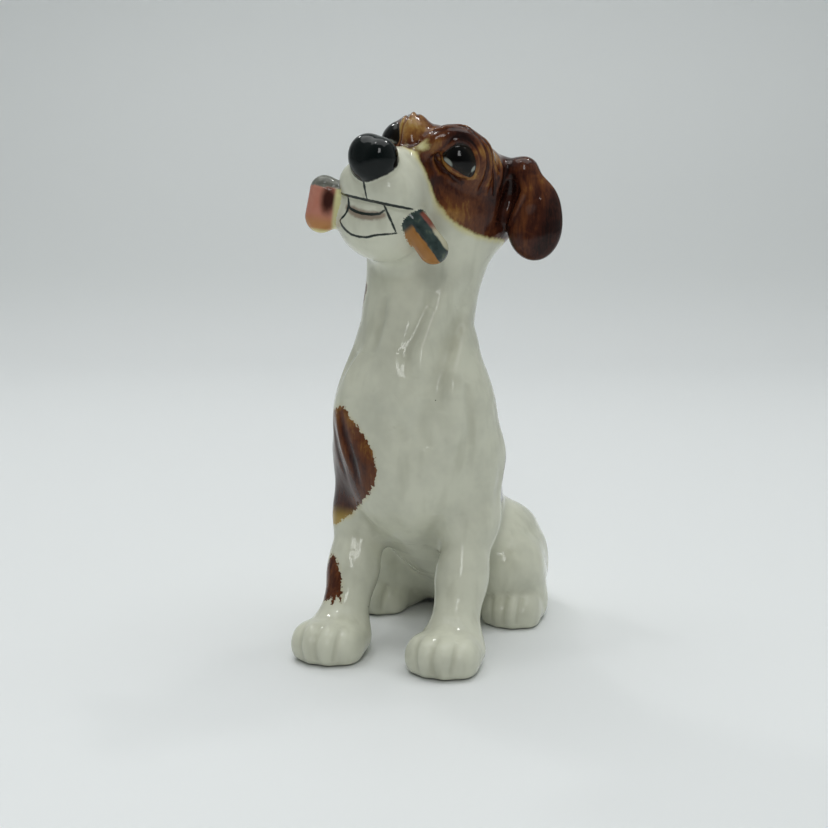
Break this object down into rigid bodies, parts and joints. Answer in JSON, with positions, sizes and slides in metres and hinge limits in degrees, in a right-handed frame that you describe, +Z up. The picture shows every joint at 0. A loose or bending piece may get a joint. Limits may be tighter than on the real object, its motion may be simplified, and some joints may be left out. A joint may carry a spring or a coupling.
{
  "type": "ceramic dog figurine",
  "caption": "Seated terrier figurine in glazed, hand-painted ceramic, head raised and turned, holding a slipper crosswise in its mouth.",
  "frame": {"origin": "centre of the figurine's bounding box on the plane it stands on", "axes": "+Z up, -Y towards the dog's front, +X towards the dog's left"},
  "size_m": [0.0534, 0.0814, 0.1155],
  "materials": {
    "white_glaze": "glossy, warm grey-white glaze with painted brown and black patches",
    "brown_glaze": "glossy, brushed reddish brown under the glaze",
    "green_glaze": "glossy, dark green with a tan sole",
    "pink_glaze": "glossy, pinkish brown with a dark red inside"
  },
  "bodies": {
    "root": {"torso": "white_glaze", "head": "white_glaze", "ear_left": "brown_glaze", "ear_right": "brown_glaze", "foreleg_left": "white_glaze", "foreleg_right": "white_glaze", "hind_leg_left": "white_glaze", "hind_leg_right": "white_glaze", "tail": "white_glaze", "slipper_toe": "green_glaze", "slipper_heel": "pink_glaze"}
  },
  "joints": []
}
